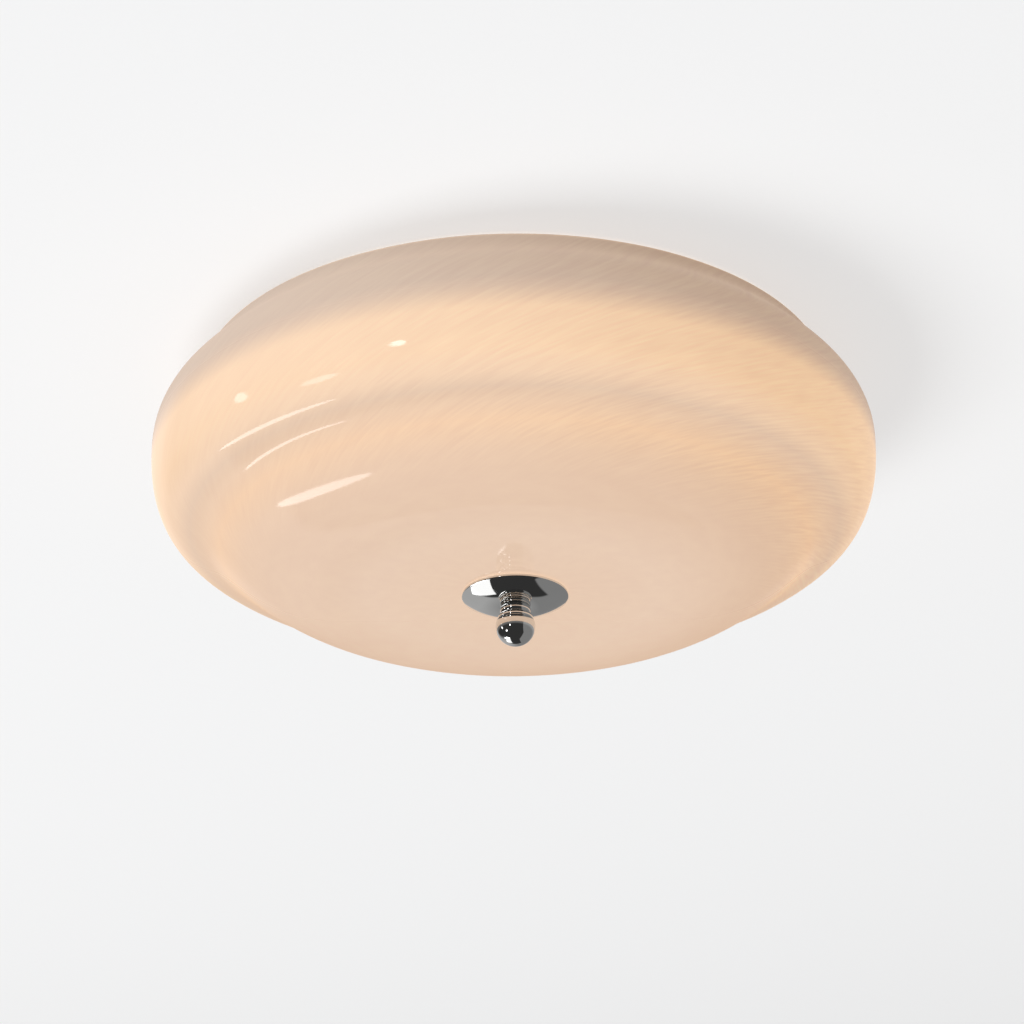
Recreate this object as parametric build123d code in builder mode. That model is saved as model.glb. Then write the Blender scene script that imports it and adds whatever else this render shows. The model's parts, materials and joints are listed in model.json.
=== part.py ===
"""Flush ceiling light: a blown glass shade with two swells, held up by a turned knob on a centre rod.

Millimetres. The origin is the middle of the strap's upper face, on the ceiling, and +Z points up, so the
light hangs in -Z. Profiles of turned pieces are drawn in the XZ plane as (radius, height).
"""

import os
from math import cos, radians, sin, sqrt

from build123d import *

# Glass shade, measured on its outer face, with depths counted down from the ceiling
rim_gap = 1.0
rim_radius = 176.0
rim_flare = 11.0
swell_radius = 200.0
swell_depth = 45.0
ledge_radius = 172.5
ledge_depth = 91.0
ledge_slope = 71.0
floor_radius = 100.0
shade_depth = 122.5
glass_wall = 4.0
rim_rounding = 1.5

# How far the glass keeps its direction at each end of its curves
rim_hold = 18.0
swell_hold_above = 25.5
swell_hold_below = 35.0
ledge_hold_above = 14.5
ledge_hold_below = 13.0
floor_hold = 44.0

# Strap on the ceiling
bracket_length = 200.0
bracket_width = 28.0
bracket_sheet = 2.0
bracket_corner = 8.0
ceiling_slot_spacing = 120.0
ceiling_slot_length = 30.0
ceiling_slot_radius = 2.5
wire_hole_radius = 8.0
earth_hole_place = 30.0

# Pressed pan
pan_gap = 18.0
pan_depth = 28.0
pan_step = 3.0
pan_sheet = 1.0
pan_lip = 4.0
pan_wall_lean = 7.0
pan_gutter = 22.0
pan_step_run = 5.0
pan_bend = 3.0

# Studs that carry the pan
stud_spacing = 170.0
stud_radius = 2.0
stud_nut_flats = 7.0
stud_nut_height = 3.2
stud_washer_radius = 4.5
stud_washer_sheet = 0.8
cap_nut_hex = 3.5
cap_nut_bore = 5.5
cap_nut_crown = 1.6
stud_end_room = 0.8

# Earth screw
earth_head_radius = 3.8
earth_head_height = 2.4
earth_washer_radius = 4.4
screw_slot_width = 1.0
screw_slot_depth = 1.0

# Centre rod and its nuts
rod_radius = 5.0
rod_bore_radius = 3.4
rod_nut_flats = 14.0
rod_nut_height = 5.0
rod_washer_radius = 11.0
rod_washer_sheet = 1.5
rod_top_room = 2.5
rod_engagement = 13.0
rod_end_room = 2.0

# Stop above the glass
inner_washer_radius = 19.0
inner_washer_sheet = 1.5
inner_gasket_radius = 20.0
inner_gasket_sheet = 2.0

# Finial cap
cap_radius = 29.0
cap_edge = 1.2
cap_height = 7.0
cap_land_radius = 9.3
cap_crown = 1.45
cap_wall = 2.0
cap_lip = 1.5
cap_seat_gap = 0.4
cap_gasket_width = 2.8
cap_gasket_sheet = 1.4

# Finial knob
upper_bead_radius = 8.4
lower_bead_radius = 9.5
bead_height = 4.1
bead_groove = 0.7
ball_radius = 10.8
ball_drop = 11.5

# Lamp holders and bulbs
bulb_count = 4
bulb_circle_radius = 85.0
bulb_start_angle = 45.0
holder_radius = 10.0
holder_height = 22.0
holder_edge = 1.0
holder_flange_length = 36.0
holder_flange_width = 13.0
holder_flange_sheet = 3.0
holder_screw_spacing = 27.0
holder_screw_radius = 1.5
holder_screw_head_radius = 2.75
holder_screw_head_height = 2.0
holder_nut_flats = 5.5
holder_nut_height = 2.4
screw_end = 0.6
pin_spacing = 9.0
pin_radius = 1.1
pin_length = 9.5
pin_socket_room = 1.5
pin_clearance = 0.3
bulb_base_radius = 7.5
bulb_base_height = 11.0
bulb_base_edge = 1.5
capsule_radius = 8.0
capsule_length = 34.0

# Terminal block, with its ways side by side along Y
terminal_place = 39.0
terminal_ways = 3
terminal_pitch = 9.0
terminal_width = 20.0
terminal_height = 14.0
terminal_edge = 1.0
clamp_screw_place = 6.0
clamp_screw_radius = 1.6
clamp_screw_height = 2.6
wire_entry_radius = 2.0
wire_entry_depth = 5.0
terminal_screw_sink = 4.0

# Leads and grommets
lead_radius = 1.5
lead_height = 9.0
lead_rise_bend = 6.0
lead_turn_bend = 10.0
lead_turn_place = 42.0
lead_entry = 4.0
grommet_radius = 3.5
grommet_flange_radius = 5.5
grommet_flange_sheet = 1.2

# Clearances, on the radius
thread_clearance = 0.05
knob_clearance = 0.08
rod_clearance = 0.3
shade_hole_clearance = 1.5
screw_clearance = 0.2
grommet_clearance = 0.1

# Levels and places that follow from the sizes above
glass_under = -shade_depth
glass_over = glass_under + glass_wall
pan_radius = rim_radius - glass_wall - pan_gap
pan_under = -(pan_depth - pan_step)
pan_over = pan_under + pan_sheet
cap_rim_level = glass_under - cap_seat_gap
cap_under = cap_rim_level - cap_height
knob_top = cap_under
rod_top = pan_over + rod_washer_sheet + rod_nut_height + rod_top_room
rod_end = knob_top - rod_engagement
gasket_over = glass_over + inner_gasket_sheet
washer_over = gasket_over + inner_washer_sheet
stud_places = ((-stud_spacing / 2, 0), (stud_spacing / 2, 0))
stud_end = pan_under - stud_washer_sheet - cap_nut_bore + stud_end_room
bracket_under = -bracket_sheet
lead_level = pan_over + lead_height
terminal_length = terminal_ways * terminal_pitch
terminal_top = pan_over + terminal_height

os.makedirs("parts", exist_ok=True)


def save(builder, label):
    """Name a finished piece and write its file."""
    builder.part.label = label
    export_step(builder.part, f"parts/{label}.step")


def heading(degrees_out):
    """Direction of a wall that runs down and leans out by an angle from the vertical."""
    return Vector(sin(radians(degrees_out)), -cos(radians(degrees_out)))


def inward(direction):
    """Direction from the outer face of the glass to its inner face."""
    return Vector(direction.Y, -direction.X)


def glass_curves(inset):
    """Control points of the three curves of the glass wall, set in from its outer face."""
    at_rim, at_swell, at_ledge, at_floor = (heading(a) for a in (rim_flare, 0, -ledge_slope, -90))
    rim = Vector(rim_radius, -rim_gap) + inward(at_rim) * inset
    swell = Vector(swell_radius, -swell_depth) + inward(at_swell) * inset
    ledge = Vector(ledge_radius, -ledge_depth) + inward(at_ledge) * inset
    floor = Vector(floor_radius, -shade_depth) + inward(at_floor) * inset
    return (
        (rim, rim + at_rim * rim_hold, swell - at_swell * swell_hold_above, swell),
        (swell, swell + at_swell * swell_hold_below, ledge - at_ledge * ledge_hold_above, ledge),
        (ledge, ledge + at_ledge * ledge_hold_below, floor - at_floor * floor_hold, floor),
    )


def station_plane(index, level):
    """Plane at one bulb's place, with X along the ring of bulbs and Z pointing down."""
    angle = radians(bulb_start_angle + index * 360 / bulb_count)
    place = (bulb_circle_radius * cos(angle), bulb_circle_radius * sin(angle), level)
    return Plane(origin=place, x_dir=(-sin(angle), cos(angle), 0), z_dir=(0, 0, -1))


def station_planes(level):
    """The planes at all the bulbs' places."""
    return [station_plane(index, level) for index in range(bulb_count)]


# Glass shade
with BuildPart() as glass_shade:
    with BuildSketch(Plane.XZ):
        with BuildLine():
            hole = rod_radius + shade_hole_clearance
            outer = glass_curves(0)
            inner = glass_curves(glass_wall)
            for curve in outer + inner:
                Bezier(*curve)
            Line(outer[0][0], inner[0][0])
            Polyline(outer[2][3], (hole, glass_under), (hole, glass_over), inner[2][3])
        make_face()
    revolve(axis=Axis.Z)
    rim_edges = glass_shade.edges().filter_by(GeomType.CIRCLE).sort_by(Axis.Z)[-2:]
    fillet(rim_edges, radius=rim_rounding)
save(glass_shade, "glass_shade")

# Strap on the ceiling, with slots for the ceiling screws
with BuildPart() as mounting_bracket:
    with BuildSketch(Plane.XY):
        RectangleRounded(bracket_length, bracket_width, bracket_corner)
        Circle(wire_hole_radius, mode=Mode.SUBTRACT)
        with GridLocations(ceiling_slot_spacing, 0, 2, 1):
            SlotOverall(ceiling_slot_length, 2 * ceiling_slot_radius, mode=Mode.SUBTRACT)
        with Locations(*stud_places, (earth_hole_place, 0)):
            Circle(stud_radius + thread_clearance, mode=Mode.SUBTRACT)
    extrude(amount=-bracket_sheet)
save(mounting_bracket, "mounting_bracket")

# Studs, hung from the strap
with BuildPart() as bracket_studs:
    with BuildSketch(Plane.XY):
        with Locations(*stud_places):
            Circle(stud_radius)
    extrude(amount=stud_end)
save(bracket_studs, "bracket_studs")

# Lock nuts under the strap
with BuildPart() as stud_lock_nuts:
    with BuildSketch(Plane.XY.offset(bracket_under)):
        with Locations(*stud_places):
            RegularPolygon(stud_nut_flats / 2, 6, major_radius=False)
            Circle(stud_radius + thread_clearance, mode=Mode.SUBTRACT)
    extrude(amount=-stud_nut_height)
save(stud_lock_nuts, "stud_lock_nuts")

# Earth screw in the strap, on its washer
with BuildPart() as earth_washer:
    with BuildSketch(Plane.XY.offset(bracket_under)):
        with Locations((earth_hole_place, 0)):
            Circle(earth_washer_radius)
            Circle(stud_radius + screw_clearance, mode=Mode.SUBTRACT)
    extrude(amount=-stud_washer_sheet)
save(earth_washer, "earth_washer")

with BuildPart() as earth_screw:
    earth_head_top = bracket_under - stud_washer_sheet
    with BuildSketch(Plane.XY):
        with Locations((earth_hole_place, 0)):
            Circle(stud_radius)
    extrude(amount=earth_head_top)
    with BuildSketch(Plane.XY.offset(earth_head_top)):
        with Locations((earth_hole_place, 0)):
            Circle(earth_head_radius)
    extrude(amount=-earth_head_height)
    with BuildSketch(Plane.XY.offset(earth_head_top - earth_head_height)):
        with Locations((earth_hole_place, 0)):
            Rectangle(3 * earth_head_radius, screw_slot_width)
    extrude(amount=screw_slot_depth, mode=Mode.SUBTRACT)
save(earth_screw, "earth_screw")

# Pressed pan, open to the ceiling, with a turned lip, a gutter and a raised floor
with BuildPart() as ceiling_pan:
    with BuildSketch(Plane.XZ):
        with BuildLine():
            half_sheet = pan_sheet / 2
            gutter_level = half_sheet - pan_depth
            wall_top = pan_radius - pan_lip
            wall_foot = wall_top - pan_wall_lean
            step_foot = wall_foot - pan_gutter
            FilletPolyline(
                (pan_radius, -half_sheet),
                (wall_top, -half_sheet),
                (wall_foot, gutter_level),
                (step_foot, gutter_level),
                (step_foot - pan_step_run, gutter_level + pan_step),
                (rod_radius + rod_clearance, gutter_level + pan_step),
                radius=[pan_bend] * 4,
            )
        trace(line_width=pan_sheet)
    revolve(axis=Axis.Z)
    with BuildSketch(Plane.XY.offset(pan_over)):
        with Locations(*stud_places):
            Circle(stud_radius + rod_clearance)
        with Locations((0, terminal_place)):
            Circle(holder_screw_radius + screw_clearance)
    extrude(amount=-2 * pan_sheet, mode=Mode.SUBTRACT)
    for floor_plane in station_planes(pan_over):
        with BuildSketch(floor_plane):
            Circle(grommet_radius + grommet_clearance)
            with GridLocations(holder_screw_spacing, 0, 2, 1):
                Circle(holder_screw_radius + screw_clearance)
        extrude(amount=2 * pan_sheet, mode=Mode.SUBTRACT)
save(ceiling_pan, "ceiling_pan")

# Washers and cap nuts that hold the pan on the studs
with BuildPart() as stud_washers:
    with BuildSketch(Plane.XY.offset(pan_under)):
        with Locations(*stud_places):
            Circle(stud_washer_radius)
            Circle(stud_radius + screw_clearance, mode=Mode.SUBTRACT)
    extrude(amount=-stud_washer_sheet)
save(stud_washers, "stud_washers")

with BuildPart() as cap_nuts:
    cap_nut_top = pan_under - stud_washer_sheet
    dome_radius = stud_nut_flats / 2
    dome_level = cap_nut_top - cap_nut_bore - cap_nut_crown + dome_radius
    with BuildSketch(Plane.XY.offset(cap_nut_top)):
        with Locations(*stud_places):
            RegularPolygon(stud_nut_flats / 2, 6, major_radius=False)
    extrude(amount=-cap_nut_hex)
    with BuildSketch(Plane.XY.offset(cap_nut_top)):
        with Locations(*stud_places):
            Circle(dome_radius)
    extrude(amount=dome_level - cap_nut_top)
    with Locations(*[(x, y, dome_level) for x, y in stud_places]):
        Sphere(dome_radius)
    with BuildSketch(Plane.XY.offset(cap_nut_top)):
        with Locations(*stud_places):
            Circle(stud_radius + thread_clearance)
    extrude(amount=-cap_nut_bore, mode=Mode.SUBTRACT)
save(cap_nuts, "cap_nuts")

# Hollow rod from the pan down into the knob
with BuildPart() as center_rod:
    with BuildSketch(Plane.XY.offset(rod_top)):
        Circle(rod_radius)
        Circle(rod_bore_radius, mode=Mode.SUBTRACT)
    extrude(amount=rod_end - rod_top)
save(center_rod, "center_rod")

# Washers and nuts that fix the rod to the pan, one set above the sheet and one below
with BuildPart() as rod_washers:
    for level in (pan_over, pan_under - rod_washer_sheet):
        with BuildSketch(Plane.XY.offset(level)):
            Circle(rod_washer_radius)
            Circle(rod_radius + rod_clearance, mode=Mode.SUBTRACT)
        extrude(amount=rod_washer_sheet)
save(rod_washers, "rod_washers")

with BuildPart() as rod_nuts:
    for level in (pan_over + rod_washer_sheet, pan_under - rod_washer_sheet - rod_nut_height):
        with BuildSketch(Plane.XY.offset(level)):
            RegularPolygon(rod_nut_flats / 2, 6, major_radius=False)
            Circle(rod_radius + thread_clearance, mode=Mode.SUBTRACT)
        extrude(amount=rod_nut_height)
save(rod_nuts, "rod_nuts")

# Stop that the glass floor is clamped against
with BuildPart() as inner_gasket:
    with BuildSketch(Plane.XY.offset(glass_over)):
        Circle(inner_gasket_radius)
        Circle(rod_radius + rod_clearance, mode=Mode.SUBTRACT)
    extrude(amount=inner_gasket_sheet)
save(inner_gasket, "inner_gasket")

with BuildPart() as inner_washer:
    with BuildSketch(Plane.XY.offset(gasket_over)):
        Circle(inner_washer_radius)
        Circle(rod_radius + rod_clearance, mode=Mode.SUBTRACT)
    extrude(amount=inner_washer_sheet)
save(inner_washer, "inner_washer")

with BuildPart() as shade_stop_nut:
    with BuildSketch(Plane.XY.offset(washer_over)):
        RegularPolygon(rod_nut_flats / 2, 6, major_radius=False)
        Circle(rod_radius + thread_clearance, mode=Mode.SUBTRACT)
    extrude(amount=rod_nut_height)
save(shade_stop_nut, "shade_stop_nut")

# Dished cap under the glass, with a seat for its gasket inside the lip
with BuildPart() as finial_cap:
    with BuildSketch(Plane.XZ):
        with BuildLine():
            cap_bore = rod_radius + rod_clearance
            seat_level = glass_under - cap_gasket_sheet
            seat_outer = cap_radius - cap_lip
            seat_inner = seat_outer - cap_gasket_width - rod_clearance
            edge_foot = (cap_radius, cap_rim_level - cap_edge)
            land_rim = (cap_land_radius, cap_under)
            SagittaArc(edge_foot, land_rim, cap_crown)
            Polyline(
                land_rim,
                (cap_bore, cap_under),
                (cap_bore, cap_under + cap_wall),
                (cap_land_radius, cap_under + cap_wall),
                (seat_inner, seat_level),
                (seat_outer, seat_level),
                (seat_outer, cap_rim_level),
                (cap_radius, cap_rim_level),
                edge_foot,
            )
        make_face()
    revolve(axis=Axis.Z)
save(finial_cap, "finial_cap")

# Soft ring in the cap's seat
with BuildPart() as cap_gasket:
    with BuildSketch(Plane.XY.offset(glass_under)):
        Circle(seat_outer - grommet_clearance)
        Circle(seat_outer - grommet_clearance - cap_gasket_width, mode=Mode.SUBTRACT)
    extrude(amount=-cap_gasket_sheet)
save(cap_gasket, "cap_gasket")

# Turned knob: two beads and a ball, bored blind for the rod
with BuildPart() as finial_knob:
    with BuildSketch(Plane.XZ):
        with BuildLine():
            knob_bore = rod_radius + knob_clearance
            bore_end = rod_end - rod_end_room
            groove_radius = upper_bead_radius - bead_groove
            neck_top = (groove_radius, knob_top)
            first_foot = (groove_radius, knob_top - bead_height)
            second_foot = (lower_bead_radius - bead_groove, knob_top - 2 * bead_height)
            ball_level = knob_top - ball_drop
            ball_start_rise = ball_drop - 2 * bead_height
            ball_start_radius = sqrt(ball_radius**2 - ball_start_rise**2)
            ball_start = (ball_start_radius, second_foot[1])
            ball_end = (0, ball_level - ball_radius)
            Line((knob_bore, knob_top), neck_top)
            ThreePointArc(neck_top, (upper_bead_radius, knob_top - bead_height / 2), first_foot)
            ThreePointArc(first_foot, (lower_bead_radius, knob_top - 1.5 * bead_height), second_foot)
            Line(second_foot, ball_start)
            ThreePointArc(ball_start, (ball_radius, ball_level), ball_end)
            Polyline(ball_end, (0, bore_end), (knob_bore, bore_end), (knob_bore, knob_top))
        make_face()
    revolve(axis=Axis.Z)
save(finial_knob, "finial_knob")

# Terminal block on the pan's floor
terminal_ways_places = [
    (0, terminal_place + (way - (terminal_ways - 1) / 2) * terminal_pitch) for way in range(terminal_ways)
]
clamp_places = [(x, y) for _, y in terminal_ways_places for x in (-clamp_screw_place, clamp_screw_place)]
with BuildPart() as terminal_block:
    with BuildSketch(Plane.XY.offset(pan_over)):
        with Locations((0, terminal_place)):
            Rectangle(terminal_width, terminal_length)
    extrude(amount=terminal_height)
    chamfer(terminal_block.faces().sort_by(Axis.Z)[-1].edges(), length=terminal_edge)
    with BuildSketch(Plane.XY.offset(terminal_top)):
        with Locations(*clamp_places):
            Circle(clamp_screw_radius + screw_clearance)
    extrude(amount=-clamp_screw_height - screw_clearance, mode=Mode.SUBTRACT)
    with BuildSketch(Plane.XY.offset(terminal_top)):
        with Locations((0, terminal_place)):
            Circle(holder_screw_head_radius + screw_clearance)
    extrude(amount=-terminal_screw_sink, mode=Mode.SUBTRACT)
    with BuildSketch(Plane.XY.offset(terminal_top)):
        with Locations((0, terminal_place)):
            Circle(holder_screw_radius + screw_clearance)
    extrude(amount=-terminal_height, mode=Mode.SUBTRACT)
    for side in (-1, 1):
        entry_plane = Plane(
            origin=(side * terminal_width / 2, 0, lead_level), x_dir=(0, 1, 0), z_dir=(-side, 0, 0)
        )
        with BuildSketch(entry_plane):
            with Locations(*[(y, 0) for _, y in terminal_ways_places]):
                Circle(wire_entry_radius)
        extrude(amount=wire_entry_depth, mode=Mode.SUBTRACT)
save(terminal_block, "terminal_block")

# Clamp screws, sunk in the block
with BuildPart() as terminal_clamp_screws:
    clamp_screw_foot = terminal_top - clamp_screw_height - screw_clearance
    with BuildSketch(Plane.XY.offset(clamp_screw_foot)):
        with Locations(*clamp_places):
            Circle(clamp_screw_radius)
    extrude(amount=clamp_screw_height)
    with BuildSketch(Plane.XY.offset(clamp_screw_foot + clamp_screw_height)):
        with Locations(*clamp_places):
            Rectangle(3 * clamp_screw_radius, screw_slot_width)
    extrude(amount=-screw_slot_depth, mode=Mode.SUBTRACT)
save(terminal_clamp_screws, "terminal_clamp_screws")

# Screw and nut that fix the block to the pan
with BuildPart() as terminal_fixing_screw:
    sunk_level = terminal_top - terminal_screw_sink
    with BuildSketch(Plane.XY.offset(sunk_level)):
        with Locations((0, terminal_place)):
            Circle(holder_screw_head_radius)
    extrude(amount=holder_screw_head_height)
    with BuildSketch(Plane.XY.offset(sunk_level)):
        with Locations((0, terminal_place)):
            Circle(holder_screw_radius)
    extrude(amount=pan_under - holder_nut_height - screw_end - sunk_level)
save(terminal_fixing_screw, "terminal_fixing_screw")

with BuildPart() as terminal_fixing_nut:
    with BuildSketch(Plane.XY.offset(pan_under)):
        with Locations((0, terminal_place)):
            RegularPolygon(holder_nut_flats / 2, 6, major_radius=False)
            Circle(holder_screw_radius + thread_clearance, mode=Mode.SUBTRACT)
    extrude(amount=-holder_nut_height)
save(terminal_fixing_nut, "terminal_fixing_nut")

# Lamp holders: a flanged ceramic body with two pin sockets, screwed to the pan
for index in range(bulb_count):
    with BuildPart() as lamp_holder:
        with BuildSketch(station_plane(index, pan_under)):
            SlotOverall(holder_flange_length, holder_flange_width)
            with GridLocations(holder_screw_spacing, 0, 2, 1):
                Circle(holder_screw_radius + screw_clearance, mode=Mode.SUBTRACT)
        extrude(amount=holder_flange_sheet)
        with BuildSketch(station_plane(index, pan_under)):
            Circle(holder_radius)
        extrude(amount=holder_height)
        chamfer(lamp_holder.edges().group_by(Axis.Z)[0], length=holder_edge)
        with BuildSketch(station_plane(index, pan_under - holder_height)):
            with GridLocations(pin_spacing, 0, 2, 1):
                Circle(pin_radius + pin_clearance)
        extrude(amount=-(pin_length + pin_socket_room), mode=Mode.SUBTRACT)
    save(lamp_holder, f"lamp_holder_{index + 1}")

# Screws and nuts of the holders
with BuildPart() as holder_screws:
    for head_plane in station_planes(pan_under - holder_flange_sheet):
        with BuildSketch(head_plane):
            with GridLocations(holder_screw_spacing, 0, 2, 1):
                Circle(holder_screw_head_radius)
        extrude(amount=holder_screw_head_height)
        with BuildSketch(head_plane):
            with GridLocations(holder_screw_spacing, 0, 2, 1):
                Circle(holder_screw_radius)
        extrude(amount=-(holder_flange_sheet + pan_sheet + holder_nut_height + screw_end))
        with BuildSketch(head_plane.offset(holder_screw_head_height)):
            with GridLocations(holder_screw_spacing, 0, 2, 1):
                Rectangle(3 * holder_screw_head_radius, screw_slot_width)
        extrude(amount=-screw_slot_depth, mode=Mode.SUBTRACT)
save(holder_screws, "holder_screws")

with BuildPart() as holder_nuts:
    for floor_plane in station_planes(pan_over):
        with BuildSketch(floor_plane):
            with GridLocations(holder_screw_spacing, 0, 2, 1):
                RegularPolygon(holder_nut_flats / 2, 6, major_radius=False)
                Circle(holder_screw_radius + thread_clearance, mode=Mode.SUBTRACT)
        extrude(amount=-holder_nut_height)
save(holder_nuts, "holder_nuts")

# Grommets in the pan, over the holders
with BuildPart() as lead_grommets:
    for floor_plane in station_planes(pan_over):
        with BuildSketch(floor_plane):
            Circle(grommet_radius)
        extrude(amount=pan_sheet)
        with BuildSketch(floor_plane):
            Circle(grommet_flange_radius)
        extrude(amount=-grommet_flange_sheet)
        with BuildSketch(floor_plane.offset(pan_sheet)):
            Circle(lead_radius + grommet_clearance)
        extrude(amount=-(pan_sheet + grommet_flange_sheet), mode=Mode.SUBTRACT)
save(lead_grommets, "lead_grommets")

# Sleeved leads, up from each holder and across to the nearer side of the terminal block
for index in range(bulb_count):
    with BuildPart() as holder_lead:
        start_plane = station_plane(index, pan_under)
        start = start_plane.origin
        side = 1 if start.X > 0 else -1
        way = terminal_ways_places[-1] if start.Y > 0 else terminal_ways_places[0]
        block_end = side * (terminal_width / 2 - lead_entry)
        with BuildLine() as route:
            FilletPolyline(
                start,
                (start.X, start.Y, lead_level),
                (side * lead_turn_place, way[1], lead_level),
                (block_end, way[1], lead_level),
                radius=[lead_rise_bend, lead_turn_bend],
            )
        with BuildSketch(start_plane):
            Circle(lead_radius)
        sweep(path=route.line)
    save(holder_lead, f"holder_lead_{index + 1}")

# Bulbs: two pins, a base and a frosted capsule
base_top = pan_under - holder_height
for index in range(bulb_count):
    base_plane = station_plane(index, base_top)
    with BuildPart() as bulb_pins:
        with BuildSketch(base_plane):
            with GridLocations(pin_spacing, 0, 2, 1):
                Circle(pin_radius)
        extrude(amount=-pin_length)
    save(bulb_pins, f"bulb_{index + 1}_pins")

    with BuildPart() as bulb_base:
        with BuildSketch(base_plane):
            Circle(bulb_base_radius)
        extrude(amount=bulb_base_height)
        chamfer(bulb_base.edges().group_by(Axis.Z)[-1], length=bulb_base_edge)
    save(bulb_base, f"bulb_{index + 1}_base")

    with BuildPart() as bulb_capsule:
        with BuildSketch(base_plane.offset(bulb_base_height)):
            Circle(capsule_radius)
        extrude(amount=capsule_length)
        fillet(bulb_capsule.edges().group_by(Axis.Z)[0], radius=capsule_radius - 2 * bulb_base_edge)
    save(bulb_capsule, f"bulb_{index + 1}_capsule")
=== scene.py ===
"""Looks of a glass ceiling light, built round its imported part.

The file is laid out as an add-on and run as a script. Lengths are in metres, in the part's own frame: the
origin is on the ceiling, in the middle of the strap, and the light hangs in -Z.
"""

import json
from functools import cache
from itertools import pairwise
from math import asin, ceil, cos, pi, radians, sin, sqrt, tan

import bmesh
import bpy
from mathutils import Matrix, Vector
from mathutils.geometry import interpolate_bezier


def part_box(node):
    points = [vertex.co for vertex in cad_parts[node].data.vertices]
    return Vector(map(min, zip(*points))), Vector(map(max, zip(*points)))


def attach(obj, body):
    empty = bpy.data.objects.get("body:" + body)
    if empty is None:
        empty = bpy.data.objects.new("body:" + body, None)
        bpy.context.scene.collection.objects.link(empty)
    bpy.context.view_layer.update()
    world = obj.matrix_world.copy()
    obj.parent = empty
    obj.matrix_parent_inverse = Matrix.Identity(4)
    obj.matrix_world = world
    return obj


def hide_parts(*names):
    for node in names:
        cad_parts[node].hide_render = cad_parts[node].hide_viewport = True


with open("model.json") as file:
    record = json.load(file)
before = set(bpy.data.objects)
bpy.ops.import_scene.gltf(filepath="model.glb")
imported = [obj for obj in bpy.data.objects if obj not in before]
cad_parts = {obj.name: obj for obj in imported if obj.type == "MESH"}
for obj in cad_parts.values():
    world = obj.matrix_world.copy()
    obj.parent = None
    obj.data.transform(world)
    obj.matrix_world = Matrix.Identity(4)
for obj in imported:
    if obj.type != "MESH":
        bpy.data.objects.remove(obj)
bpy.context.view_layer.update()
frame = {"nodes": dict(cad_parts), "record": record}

bl_info = {
    "name": "Glass ceiling light",
    "version": (1, 0, 0),
    "blender": (4, 5, 0),
    "location": "3D View > Sidebar > Ceiling light",
    "description": "Models and finishes a stepped glass ceiling light round its packed part",
    "category": "Object",
}

MM = 0.001
MERGE_DISTANCE = 0.002 * MM
ROD_CLEARANCE = 0.3 * MM
STUD_CLEARANCE = 0.2 * MM
SMOOTH_ANGLE = radians(38)
SHARP_ANGLE = radians(40)
FINE_STEPS = 192
TURNED_STEPS = 96
SMALL_STEPS = 48
THREAD_STEPS = 24

BODY_OF = {node: body for body, nodes in frame["record"]["behaviour"]["bodies"].items() for node in nodes}
SLOT_OF = {row["node"]: row["material_slot"] for row in frame["record"]["subparts"]}


# Properties that a user can change


def length(name, description, millimetres):
    """A length property, given in millimetres."""
    return bpy.props.FloatProperty(
        name=name, description=description, default=millimetres * MM, unit="LENGTH", precision=4
    )


def turn_angle(name, description, degrees):
    """An angle property, given in degrees."""
    return bpy.props.FloatProperty(
        name=name, description=description, default=radians(degrees), subtype="ANGLE"
    )


def colour(name, description, red, green, blue):
    """A colour property."""
    return bpy.props.FloatVectorProperty(
        name=name, description=description, default=(red, green, blue), subtype="COLOR", min=0.0, max=1.0
    )


def share(name, description, amount):
    """A plain number property."""
    return bpy.props.FloatProperty(name=name, description=description, default=amount)


class GlassSettings(bpy.types.PropertyGroup):
    """Blown shade: its outer face, with depths counted down from the ceiling."""

    rim_gap: length("Rim gap", "Gap between the ceiling and the rim", 1.0)
    rim_radius: length("Rim radius", "Radius of the neck at the rim", 176.0)
    rim_flare: turn_angle("Rim flare", "How far the neck leans out at the rim", 11.0)
    swell_radius: length("Swell radius", "Radius of the upper swell", 200.0)
    swell_depth: length("Swell depth", "Depth of the upper swell's widest place", 45.0)
    ledge_radius: length("Ledge radius", "Radius of the step between the swells", 172.5)
    ledge_depth: length("Ledge depth", "Depth of the step between the swells", 91.0)
    ledge_slope: turn_angle("Ledge slope", "How far the wall leans in at the step", 71.0)
    floor_radius: length("Floor radius", "Radius where the floor goes flat", 100.0)
    depth: length("Depth", "Depth of the floor", 122.5)
    wall: length("Wall", "Thickness of the glass", 4.0)
    rim_rounding: length("Rim rounding", "Rounding of the fire-polished rim", 1.5)
    hole_radius: length("Hole radius", "Radius of the hole for the rod", 6.5)
    rim_hold: length("Rim hold", "How far the neck keeps its direction", 18.0)
    swell_hold_above: length("Swell hold above", "How far it is upright above its widest place", 25.5)
    swell_hold_below: length("Swell hold below", "How far it is upright below its widest place", 35.0)
    ledge_hold_above: length("Ledge hold above", "How far the step keeps its slope outwards", 14.5)
    ledge_hold_below: length("Ledge hold below", "How far the step keeps its slope inwards", 13.0)
    floor_hold: length("Floor hold", "How far the floor stays flat outwards", 44.0)
    waviness: length("Waviness", "Depth of the slow waves of blown glass", 0.3)
    wave_size: length("Wave size", "Size of those waves", 70.0)


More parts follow.
